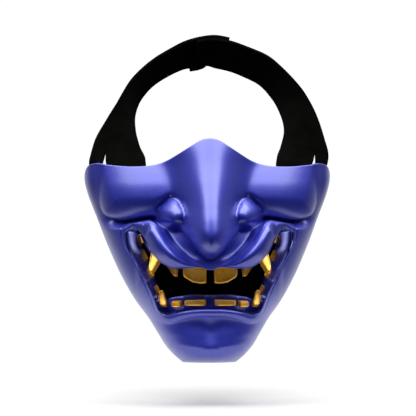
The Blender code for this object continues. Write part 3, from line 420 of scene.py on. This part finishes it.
def upper_lip(x, z):
    """Rise of the upper lip inside its outer line, the channel above it, and how far a point is on it."""
    outer, values = nearest(x, z, ROLL_PATH)
    inner, _ = nearest(x, z, LIP_PATH)
    q = np.where(inner > 0, np.abs(outer) / (np.abs(outer) + np.abs(inner) + TINY), 1)
    bulge = np.sin(np.pi * np.clip(q, 0, 1) ** LIP_SKEW) ** LIP_FULL
    step = values[..., 0] * smooth(np.abs(outer) / STEP_WIDTH)
    off_line = (np.abs(outer) - LIP_LINE_AWAY) / LIP_LINE_HALF_WIDTH
    line = LIP_LINE_DEPTH * smooth(values[..., 1] / LIP_LINE_BULGE) * np.exp(-(off_line**2))
    deep = CHANNEL_DEPTH + (CHANNEL_DEEP - CHANNEL_DEPTH) * smooth((x - CHANNEL_START) / CHANNEL_WIDEN)
    channel = deep * smooth(outer / CHANNEL_BLEND) * smooth((CHANNEL_END - x) / CHANNEL_FADE)
    rise = np.where(outer < 0, step + values[..., 1] * bulge - line, 0)
    gone = smooth((x - LIP_STOP[0]) / LIP_STOP_FADE[0]) * smooth((LIP_STOP[1] - z) / LIP_STOP_FADE[1])
    return rise * (1 - gone), channel, smooth(-outer) * smooth((LIP_END - x) / LIP_END_FADE)


def height(x, z):
    """Forward height of the outer face over any point of the front."""
    x = np.abs(x)
    above, sink = cheek(x, z)
    lip, channel, on_lip = upper_lip(x, z)
    low = jaw(x, z) - soft_max(sink * (1 - on_lip), channel, HOLLOW_BLEND) + HOLLOW_BLEND / 4
    sunk = smooth((z - TOP_SINK_Z) / TOP_SINK_FADE) * smooth((TOP_SINK_X - x) / TOP_SINK_FADE)
    low = low - TOP_SINK * sunk
    face = soft_max(low + lip, above, CHEEK_BLEND)
    away, radius, _, _ = wing_place(x, z)
    q = away / radius
    swell = np.where(q < 1, 1 - np.clip(q, 0, 1) ** WING_POWER, WING_POWER * (1 - q))
    wing = WING_BASE + WING_TILT[0] * (x - WING_X) + WING_TILT[1] * (z - WING_Z) + WING_RISE * swell
    face = soft_max(face, wing, WING_BLEND)
    away, values = nearest(x, z, LOWER_ROLL_PATH)
    roll = values[..., 1] * np.sqrt(np.clip(1 - (away / values[..., 0]) ** 2, 0, 1))
    face = soft_max(face, low + roll, ROLL_BLEND)
    length = smooth((GROOVE_TOP - z) / GROOVE_START) * smooth((z - GROOVE_BOTTOM) / GROOVE_RUNOUT)
    face = face - GROOVE_DEPTH * np.exp(-((x / GROOVE_HALF_WIDTH) ** 2)) * length
    down = np.clip((BOSS_TOP - z) / (BOSS_TOP - BOSS_BOTTOM), 0, BOSS_LOWEST)
    boss = smooth(BOSS_EDGE - x / (BOSS_HALF_WIDTH * np.maximum(down, BOSS_TIP))) * smooth(down)
    face = face + BOSS_RISE * boss
    away, values = nearest(x, z, CREASE_PATH)
    return face - values[..., 0] * np.exp(-((away / CREASE_HALF_WIDTH) ** 2))


def inset_height(x, z, depth):
    """Height of a face that lies depth inside the outer face everywhere."""
    low = height(x, z) - depth
    for share in INSET_SHARES:
        drop = depth * np.sqrt(1 - share**2)
        for turn in np.linspace(0, 2 * np.pi, INSET_TURNS, endpoint=False):
            reach = share * depth
            low = np.minimum(low, height(x + reach * np.cos(turn), z + reach * np.sin(turn)) - drop)
    return low


def add_mesh(name, points, faces, node_names, slot):
    """Mesh piece from points (x, height, z) in mm that rides on the frame and replaces its nodes."""
    placed = np.stack([points[:, 0], -points[:, 1], points[:, 2]], 1) * MM
    groups = [np.asarray(group, np.int64) for group in faces if len(group)]
    volume = 0
    for group in groups:
        for k in range(1, group.shape[1] - 1):
            volume += np.linalg.det(placed[group[:, [0, k, k + 1]]]).sum()
    if volume < 0:
        groups = [group[:, ::-1] for group in groups]
    sides = np.concatenate([np.full(len(group), group.shape[1]) for group in groups])
    corners = np.concatenate([group.ravel() for group in groups])
    mesh = bpy.data.meshes.new(name)
    mesh.vertices.add(len(placed))
    mesh.vertices.foreach_set("co", placed.ravel())
    mesh.loops.add(len(corners))
    mesh.loops.foreach_set("vertex_index", corners)
    mesh.polygons.add(len(sides))
    mesh.polygons.foreach_set("loop_start", np.cumsum(sides) - sides)
    mesh.polygons.foreach_set("loop_total", sides)
    mesh.update(calc_edges=True)
    mesh.validate()
    mesh.shade_smooth()
    mesh.materials.append(bpy.data.materials[slot])
    obj = bpy.data.objects.new(name, mesh)
    bpy.context.scene.collection.objects.link(obj)
    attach(obj, "root")
    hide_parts(*node_names)
    return obj


def grid_faces(rows, columns, row_loop=False, column_loop=False):
    """Quads of a grid of points stored row by row."""
    r, c = np.meshgrid(
        np.arange(rows if row_loop else rows - 1),
        np.arange(columns if column_loop else columns - 1),
        indexing="ij")
    below = (r + 1) % rows * columns
    beside = (c + 1) % columns
    quads = np.stack([r * columns + c, r * columns + beside, below + beside, below + c], -1)
    return quads.reshape(-1, 4)


def mirrored(half):
    other = half[-2:0:-1] * np.array([-1] + [1] * (half.shape[1] - 1))
    return np.concatenate([half, other])


def unit(v):
    return v / np.linalg.norm(v, axis=-1, keepdims=True)


# Shell
def shell_loops():
    """Mouth and outline as facing half loops."""
    along = np.linspace(0, 1, SHELL_COLUMNS // 2 + 1)
    steps = np.linspace(0, 1, len(MOUTH_ANCHORS))
    sides = [(row[1], row[0]) for row in JAW if row[0] < TOP_RIM[-1][1] - 1]
    jaw_line = curve(TOP_RIM[-1:] + sides, 240)[1:]
    jaw_line[:, 0] = column(JAW, jaw_line[:, 1], 1)
    outline = np.concatenate([curve(TOP_RIM, 160), jaw_line])
    foot = np.stack([np.linspace(outline[-1, 0], 0, 40)[1:], np.full(39, -MASK_DROP)], 1)
    outline = np.concatenate([outline, foot])
    mouth = np.concatenate([curve(UPPER_LIP, 160), curve(LOWER_LIP, 160)[1:]])
    loops = []
    for line, anchors in ((mouth, MOUTH_ANCHORS), (outline, OUTLINE_ANCHORS)):
        walked = lengths(line) / lengths(line)[-1]
        shares = hermite(along, steps, anchors)
        loops.append(np.stack([np.interp(shares, walked, line[:, j]) for j in (0, 1)], 1))
    return loops


def spaced(front, rows, power):
    """Rows of each column moved along it, closer together at its start when power is over 1."""
    out = np.empty((rows, front.shape[1], 3))
    for c in range(front.shape[1]):
        walked = lengths(front[:, c])
        at = walked[-1] * np.linspace(0, 1, rows) ** power
        for j in range(3):
            out[:, c, j] = np.interp(at, walked, front[:, c, j])
    return out


def sheet_between(inner, outer, rows, depth, power=1.0):
    t = np.linspace(0, 1, (3 if depth else 5) * rows)[:, None, None]
    flat = inner[None] + t**power * (outer - inner)[None]
    x = flat[..., 0]
    z = flat[..., 1]
    h = inset_height(x, z, depth) if depth else height(x, z)
    return spaced(np.stack([x, h, z], -1), rows, power)


def rim(front, back, outward):
    rows = []
    for k in range(1, RIM_ROWS + 1):
        turn = np.pi * k / (RIM_ROWS + 1)
        middle = (front + back) / 2 + (front - back) / 2 * np.cos(turn)
        rows.append(middle + outward * np.sin(turn) * np.linalg.norm(front - back, axis=1)[:, None] / 4)
    return np.array(rows)


def mask_shell():
    mouth, outline = shell_loops()
    front = sheet_between(mouth, outline, FRONT_ROWS, 0, 1.25)
    out = unit(front[-1] - front[-2])
    along = np.gradient(front[-1], axis=0)
    normal = unit(np.cross(out, along))
    normal *= np.sign(normal[:, 1:2] + 1e-9)
    edge = outline - WALL * normal[:, [0, 2]]
    edge[[0, -1], 0] = 0
    lip = mouth + MOUTH_LEAN * unit(outline - mouth)
    lip[[0, -1], 0] = 0
    back = sheet_between(edge, lip, BACK_ROWS, WALL)
    rows = np.concatenate([
        front, rim(front[-1], back[0], out), back, rim(back[-1], front[0], unit(front[0] - front[1]))])
    whole = np.stack([mirrored(row) for row in rows])
    faces = grid_faces(len(whole), SHELL_COLUMNS, True, True)
    add_mesh("mask_body", whole.reshape(-1, 3), [faces], ["mask_shell"], "blue_paint")


# Gums and teeth
def gum_frames(table, stations):
    line = curve(table, stations, dims=3)
    points = line[:, [0, 2, 1]] - np.array([0, WALL, 0])
    along = unit(np.gradient(points, axis=0))
    face = np.stack([-line[:, 4], np.ones(len(line)), np.zeros(len(line))], 1)
    face = unit(face - along * np.einsum("ij,ij->i", face, along)[:, None])
    return points, along, np.cross(along, face), face, line[:, 3]


def gum(name, table, row):
    """Rounded band along a jaw, a little fuller between the teeth."""
    points, _, across, face, width = gum_frames(table, GUM_STATIONS)
    full = np.zeros(len(points))
    for _, tooth_row, x, wide, z, _, _ in TEETH:
        if (tooth_row == "upper") == (row == "upper"):
            for side in (-1, 1):
                beside = side * wide / 2 * (tooth_row != "side")
                edge = np.array([(x + beside) * HALF_WIDTH / 100, z * MASK_DROP / 100])
                if tooth_row == "side":
                    edge = edge + side * SIDE_PAPILLA
                away = np.hypot(points[:, 0] - edge[0], points[:, 2] - edge[1])
                full = np.maximum(full, np.exp(-((away / PAPILLA_WIDTH) ** 2)))
    rings = []
    for turn in np.linspace(0, 2 * np.pi, GUM_SIDES, endpoint=False):
        u = np.sign(np.cos(turn)) * np.abs(np.cos(turn)) ** GUM_POWER
        v = np.sign(np.sin(turn)) * np.abs(np.sin(turn)) ** GUM_POWER
        swell = PAPILLA * full * max(np.sin(turn), 0)
        rings.append(points + across * (u * width)[:, None] + face * (v * GUM_DEPTH / 2 + swell)[:, None])
    rings = np.stack(rings, 1)
    rings = np.concatenate([rings[:0:-1] * np.array([-1, 1, 1]), rings])
    faces = grid_faces(len(rings), GUM_SIDES, False, True)
    last = (len(rings) - 1) * GUM_SIDES
    ends = [range(GUM_SIDES - 1, -1, -1), range(last, last + GUM_SIDES)]
    add_mesh(name + "_form", rings.reshape(-1, 3), [faces, ends], [name], "blue_paint")


def tooth(name, table, x, z, width, tall, outline, upright):
    """Cast tooth with a rounded rim and a slightly dished face, on the gum."""
    points, along, across, face, _ = gum_frames(table, TOOTH_STATIONS)
    i = int(np.argmin(np.hypot(points[:, 0] - x, points[:, 2] - z)))
    flat = np.array([x, points[i, 1], z]) - points[i]
    seat = points[i] + across[i] * np.dot(flat, across[i])
    length_way = np.array([0, 0, upright]) if upright else along[i]
    length_way = unit(length_way - face[i] * np.dot(length_way, face[i]))
    width_way = np.cross(length_way, face[i])
    width_way = width_way * np.sign(width_way[0])
    corners = np.array(outline + outline[:1], float) * (width / 2, tall / 2)
    cuts = [min(CORNER_CUT / np.linalg.norm(b - a), MOST_CUT) for a, b in zip(corners[:-1], corners[1:])]
    ends = [(a + (b - a) * cut, b + (a - b) * cut) for a, b, cut in zip(corners[:-1], corners[1:], cuts)]
    loop = np.array([point for pair in ends for point in pair])
    loop = np.concatenate([loop, loop[:1]])
    tiled = np.concatenate([loop[:-1], loop[:-1], loop])
    s = lengths(tiled)
    third = s[len(loop) - 1]
    at = third + np.linspace(0, third, TOOTH_SIDES, endpoint=False)
    edge = np.stack([np.interp(at, s, tiled[:, j]) for j in (0, 1)], 1)
    middle = edge.mean(0)
    rings = []
    for share, deep in TOOTH_RINGS:
        uv = middle + (edge - middle) * share
        centre = seat + face[i] * (GUM_DEPTH / 2 + TOOTH_GAP + deep * TOOTH_DEPTH)
        rings.append(centre + np.outer(uv[:, 0], width_way) + np.outer(uv[:, 1], length_way))
    rings = np.array(rings)
    node_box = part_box(name + "_right")
    node_middle = (np.array(node_box[0]) + np.array(node_box[1])) / 2 / MM
    body = rings.reshape(-1, 3)
    middle = (body.min(0) + body.max(0)) / 2
    shift = np.array([node_middle[0], -node_middle[1], node_middle[2]]) - middle
    body = body + face[i] * np.dot(shift, face[i])
    faces = grid_faces(len(rings), TOOTH_SIDES, False, True)
    for word, side in (("_right", 1), ("_left", -1)):
        add_mesh(name + word + "_cast", body * np.array([side, 1, 1]), [faces], [name + word], "gold_paint")


def teeth():
    for name, row, x, width, z, tall, outline in TEETH:
        table = UPPER_GUM if row == "upper" else LOWER_GUM
        upright = {"upper": -1, "lower": 1, "side": 0}[row]
        place = x * HALF_WIDTH / 100, z * MASK_DROP / 100
        tooth(name, table, *place, width * HALF_WIDTH / 100, tall * MASK_DROP / 100, outline, upright)


# Cloth; the black screen behind the mouth is painted shade for the dark hollow inside the mask
def mouth_screen():
    edge = mirrored(curve(SCREEN_EDGE, SCREEN_STATIONS))
    t = np.linspace(0, 1, SCREEN_ROWS + 1)[1:, None, None]
    centre = np.array([0, SCREEN_CENTRE_Z])
    flat = centre + t * (edge - centre)
    x = flat[..., 0]
    z = flat[..., 1]
    bowl = hermite(np.abs(x), [row[0] for row in SCREEN_ROUND], [row[1] for row in SCREEN_ROUND])
    h = np.minimum(bowl - WALL - GUM_DEPTH, inset_height(x, z, WALL + 2 * GAP))
    front = np.stack([x, h, z], -1).reshape(-1, 3)
    middle = np.array([[0, SCREEN_ROUND[0][1] - WALL - GUM_DEPTH, SCREEN_CENTRE_Z]])
    front = np.concatenate([middle, front])
    back = front - np.array([0, SCREEN_WALL, 0])
    columns = len(edge)
    count = len(front)
    beside = (np.arange(columns) + 1) % columns
    fans = np.stack([np.zeros(columns, int), 1 + np.arange(columns), 1 + beside], 1)
    quads = grid_faces(SCREEN_ROWS, columns, False, True)[:, ::-1] + 1
    start = 1 + (SCREEN_ROWS - 1) * columns
    a = start + np.arange(columns)
    b = start + beside
    walls = np.stack([b, a, a + count, b + count], 1)
    groups = [fans, fans[:, ::-1] + count, quads, quads[:, ::-1] + count, walls]
    # Black sheet behind the teeth: painted shade for the dark hollow inside the mask, seen through the mouth
    return add_mesh("mouth_painted_shade_screen", np.concatenate([front, back]), groups, ["mouth_screen"], "black_cloth")


def material(name):
    made = bpy.data.materials.get(name) or bpy.data.materials.new(name)
    made.use_nodes = True
    return made.node_tree, made.node_tree.nodes["Principled BSDF"]


def texture(tree, kind, scale, **settings):
    node = tree.nodes.new(kind)
    node.inputs["Scale"].default_value = scale
    for key, value in settings.items():
        node.inputs[key].default_value = value
    place = tree.nodes.get("place") or tree.nodes.new("ShaderNodeTexCoord")
    place.name = "place"
    tree.links.new(place.outputs["Object"], node.inputs["Vector"])
    return node


def ramp(tree, source, low, high, start=0.0, end=1.0):
    node = tree.nodes.new("ShaderNodeMapRange")
    node.inputs["From Min"].default_value = start
    node.inputs["From Max"].default_value = end
    node.inputs["To Min"].default_value = low
    node.inputs["To Max"].default_value = high
    tree.links.new(source, node.inputs["Value"])
    return node.outputs["Result"]


def mix_colour(tree, share, low, high):
    node = tree.nodes.new("ShaderNodeMix")
    node.data_type = "RGBA"
    node.inputs[6].default_value = (*low, 1)
    node.inputs[7].default_value = (*high, 1)
    tree.links.new(share, node.inputs[0])
    return node.outputs[2]


def bump(tree, surface, source, strength, distance):
    node = tree.nodes.new("ShaderNodeBump")
    node.inputs["Strength"].default_value = strength
    node.inputs["Distance"].default_value = distance
    tree.links.new(source, node.inputs["Height"])
    tree.links.new(node.outputs["Normal"], surface.inputs["Normal"])


def blue_paint():
    """Satin metallic blue under a clear coat."""
    tree, surface = material("blue_paint")
    flake = texture(tree, "ShaderNodeTexNoise", 1400, Detail=3)
    broad = texture(tree, "ShaderNodeTexNoise", 45, Detail=2)
    shade = ramp(tree, flake.outputs["Fac"], 0, 1, 0.35, 0.65)
    colour = mix_colour(tree, shade, (0.010, 0.020, 0.36), (0.018, 0.030, 0.48))
    tree.links.new(colour, surface.inputs["Base Color"])
    tree.links.new(ramp(tree, broad.outputs["Fac"], 0.5, 0.6), surface.inputs["Roughness"])
    surface.inputs["Metallic"].default_value = 0.6
    surface.inputs["IOR"].default_value = 1.45
    surface.inputs["Coat Weight"].default_value = 1.0
    surface.inputs["Coat Roughness"].default_value = 0.33
    surface.inputs["Coat IOR"].default_value = 1.75
    bump(tree, surface, flake.outputs["Fac"], 0.05, 0.0002)


def gold_paint():
    tree, surface = material("gold_paint")
    patch = texture(tree, "ShaderNodeTexNoise", 220, Detail=4)
    shade = ramp(tree, patch.outputs["Fac"], 0, 1, 0.35, 0.7)
    colour = mix_colour(tree, shade, (0.92, 0.40, 0.015), (1.0, 0.60, 0.12))
    tree.links.new(colour, surface.inputs["Base Color"])
    tree.links.new(ramp(tree, patch.outputs["Fac"], 0.25, 0.42), surface.inputs["Roughness"])
    surface.inputs["Metallic"].default_value = 0.4
    bump(tree, surface, patch.outputs["Fac"], 0.15, 0.0003)


def soft_black(name, low, high, scale):
    """Matt black cloth or foam rubber with a fine grain."""
    tree, surface = material(name)
    grain = texture(tree, "ShaderNodeTexVoronoi", scale)
    tone = texture(tree, "ShaderNodeTexNoise", 60, Detail=3)
    shade = ramp(tree, tone.outputs["Fac"], 0, 1, 0.3, 0.7)
    tree.links.new(mix_colour(tree, shade, low, high), surface.inputs["Base Color"])
    surface.inputs["Roughness"].default_value = 0.85
    surface.inputs["Specular IOR Level"].default_value = 0.0
    bump(tree, surface, grain.outputs["Distance"], 0.35, 0.0003)


def strap_edge(table, top, side):
    here = [(side * row[2 if side > 0 else 3], row[1], row[0]) for row in table]
    there = [(-side * row[3 if side > 0 else 2], row[1], row[0]) for row in table[:2]]
    line = curve(there[::-1] + [top] + here, 400, dims=3)
    walked = lengths(line)
    start = walked[np.argmin(np.linalg.norm(line - np.array(top), axis=1))] - STRAP_LAP
    at = np.linspace(start, walked[-1], STRAP_FINE * STRAP_STEPS + 1)
    return np.stack([np.interp(at, walked, line[:, j]) for j in range(3)], 1)


def strap_half(word, side):
    """Neoprene strap with rounded cut edges, forked into two tails inside the cheek, and its fasteners."""
    outer = strap_edge(STRAP_OUTER, OUTER_TOP, side)
    inner = strap_edge(STRAP_INNER, INNER_TOP, side)
    steps = STRAP_FINE * STRAP_STEPS
    step = np.arange(steps + 1) / STRAP_FINE
    past = smooth((step - FORK_STEP) / (STRAP_STEPS - FORK_STEP))[:, None]
    inner_cells = INNER_TAIL_CELLS * ACROSS_FINE
    outer_cells = OUTER_TAIL_CELLS * ACROSS_FINE
    inner_wide = FORK_SHARE + (INNER_TAIL_SHARE - FORK_SHARE) * past
    outer_wide = 1 - FORK_SHARE + (FORK_SHARE - OUTER_TAIL_SHARE) * past
    inner_side = np.linspace(0, 1, inner_cells + 1)[None] * inner_wide
    outer_side = 1 - np.linspace(1, 0, outer_cells + 1)[None] * outer_wide
    v = np.concatenate([inner_side, outer_side], 1)[..., None]
    points = (inner[:, None] * (1 - v) + outer[:, None] * v) * np.array([1, -1, 1])
    x = points[..., 0]
    z = points[..., 2]
    touch = smooth((step - FORK_STEP - 1) / (STRAP_STEPS - FORK_STEP) * TOUCH_SPEED)[:, None]
    fork = FORK_STEP * STRAP_FINE
    lying = inset_height(x[fork:], z[fork:], WALL + PATCH_WALL + 2 * PATCH_GAP)
    points[fork:, :, 1] = points[fork:, :, 1] * (1 - touch[fork:]) + lying * touch[fork:]
    normal = np.cross(np.gradient(points, axis=0), np.gradient(points, axis=1))
    both = normal[: fork + 1, inner_cells - 1] + normal[: fork + 1, inner_cells + 2]
    normal[: fork + 1, inner_cells] = both
    normal[: fork + 1, inner_cells + 1] = both
    normal = unit(normal) * np.sign(normal[..., 1].sum())
    if side > 0:
        walked = lengths(points[:, 0])
        under = (STRAP_WALL + LAP_GAP) * (1 - smooth((walked - LAP_KEEP) / LAP_EASE))
        points = points + normal * under[:, None, None]
    columns = inner_cells + outer_cells + 2
    keep = np.ones((steps, columns - 1), bool)
    keep[:, inner_cells] = False
    made = slab("head_strap_" + word, points, normal, STRAP_WALL, keep, ["strap_" + word], "black_neoprene")
    start = (FORK_STEP + int(round((STRAP_STEPS - FORK_STEP) * PATCH_START)) + 1) * STRAP_FINE
    for tail, cells in (("inner", slice(2, inner_cells - 1)), ("outer", slice(inner_cells + 3, columns - 2))):
        flat = points[start:, cells]
        x = flat[..., 0]
        z = flat[..., 2]
        front = np.stack([x, inset_height(x, z, WALL + PATCH_GAP), z], -1)
        under = np.zeros_like(front)
        under[..., 1] = 1
        cover = np.ones((front.shape[0] - 1, front.shape[1] - 1), bool)
        ending = tail + "_" + word
        slab("fastener_" + ending, front, under, PATCH_WALL, cover, ["patch_" + ending], "hook_and_loop")
    return made


def slab(name, front, normal, wall, keep, nodes, slot):
    """Closed sheet with a rounded edge, from a grid of points and the way its front faces."""
    rows, columns = front.shape[:2]
    back = front - normal * wall
    points = np.concatenate([front.reshape(-1, 3), back.reshape(-1, 3)])
    _, first, place = np.unique(np.round(points, 4), axis=0, return_index=True, return_inverse=True)
    place = place.reshape(-1)
    count = rows * columns
    cells = grid_faces(rows, columns)[keep.ravel()]
    ends = np.concatenate([cells[:, [k, (k + 1) % 4]] for k in range(4)])
    joined = place[ends]
    key = joined[:, 0] * (2 * count) + joined[:, 1]
    open_ends = ends[~np.isin(key, joined[:, 1] * (2 * count) + joined[:, 0])]
    start, stop = open_ends.T
    walls = np.stack([stop, start, start + count, stop + count], 1)
    quads = place[np.concatenate([cells, cells[:, ::-1] + count, walls])]
    used, order = np.unique(quads, return_inverse=True)
    made = add_mesh(name, points[first][used], [order.reshape(-1, 4)], nodes, slot)
    edge = made.modifiers.new("edge", "BEVEL")
    edge.width = CUT_EDGE * MM
    edge.segments = CUT_EDGE_STEPS
    edge.limit_method = "ANGLE"
    edge.angle_limit = CUT_EDGE_ANGLE
    return made


# Studio
def studio():
    """Small pale floor, a panel of light overhead and a surround that is white behind and black in front."""
    floor_mesh = bpy.data.meshes.new("floor")
    corners = [(side * FLOOR_HALF_WIDTH, y, FLOOR_Z * MM) for side, y in (
        (-1, FLOOR_FRONT), (1, FLOOR_FRONT), (1, FLOOR_BACK), (-1, FLOOR_BACK))]
    floor_mesh.from_pydata(corners, [], [(0, 1, 2, 3)])
    floor = bpy.data.objects.new("floor", floor_mesh)
    bpy.context.scene.collection.objects.link(floor)
    _, surface = material("studio_white")
    surface.inputs["Base Color"].default_value = (FLOOR_WHITE, FLOOR_WHITE, FLOOR_WHITE, 1)
    surface.inputs["Roughness"].default_value = 0.95
    surface.inputs["Specular IOR Level"].default_value = 0.0
    surface.inputs["Emission Color"].default_value = (1, 1, 1, 1)
    surface.inputs["Emission Strength"].default_value = FLOOR_GLOW
    floor_mesh.materials.append(bpy.data.materials["studio_white"])
    lamp = bpy.data.lights.new("panel", "AREA")
    lamp.shape = "RECTANGLE"
    lamp.size = PANEL_WIDE
    lamp.size_y = PANEL_DEEP
    lamp.energy = PANEL_POWER
    panel = bpy.data.objects.new("panel", lamp)
    panel.location = PANEL_PLACE
    bpy.context.scene.collection.objects.link(panel)
    world = bpy.data.worlds.new("studio")
    bpy.context.scene.world = world
    world.use_nodes = True
    tree = world.node_tree
    way = tree.nodes.new("ShaderNodeTexCoord")
    parts = tree.nodes.new("ShaderNodeSeparateXYZ")
    tree.links.new(way.outputs["Generated"], parts.inputs[0])
    sky = tree.nodes.new("ShaderNodeValToRGB")
    sky.color_ramp.elements.remove(sky.color_ramp.elements[1])
    for k, (at, level) in enumerate(SKY):
        spot = sky.color_ramp.elements[0] if k == 0 else sky.color_ramp.elements.new(at)
        spot.position = at
        spot.color = (level, level, level, 1)
    tree.links.new(ramp(tree, parts.outputs["Y"], 0, 1, -1, 1), sky.inputs[0])
    tree.links.new(sky.outputs["Color"], tree.nodes["Background"].inputs["Color"])
    tree.nodes["Background"].inputs["Strength"].default_value = SKY_STRENGTH
    bpy.context.scene.view_settings.view_transform = "Standard"


def camera():
    lens = bpy.data.cameras.new("camera")
    lens.lens = LENS
    lens.sensor_width = SENSOR
    eye = bpy.data.objects.new("camera", lens)
    bpy.context.scene.collection.objects.link(eye)
    place = Vector((VIEW_X - VIEW_DISTANCE * np.tan(VIEW_TURN), -VIEW_DISTANCE, VIEW_Z)) * MM
    aim = Vector((VIEW_X, 0, VIEW_Z)) * MM
    turn = (aim - place).to_track_quat("-Z", "Y")
    eye.matrix_world = Matrix.Translation(place) @ turn.to_matrix().to_4x4()
    bpy.context.scene.camera = eye


camera()
studio()
blue_paint()
gold_paint()
for black in BLACKS:
    soft_black(*black)
mask_shell()
gum("upper_gum", UPPER_GUM, "upper")
gum("lower_gum", LOWER_GUM, "lower")
teeth()
# Black screen behind the teeth: painted shade for the dark hollow inside the mask
cloth = mouth_screen()
left = strap_half("left", -1)
right = strap_half("right", 1)
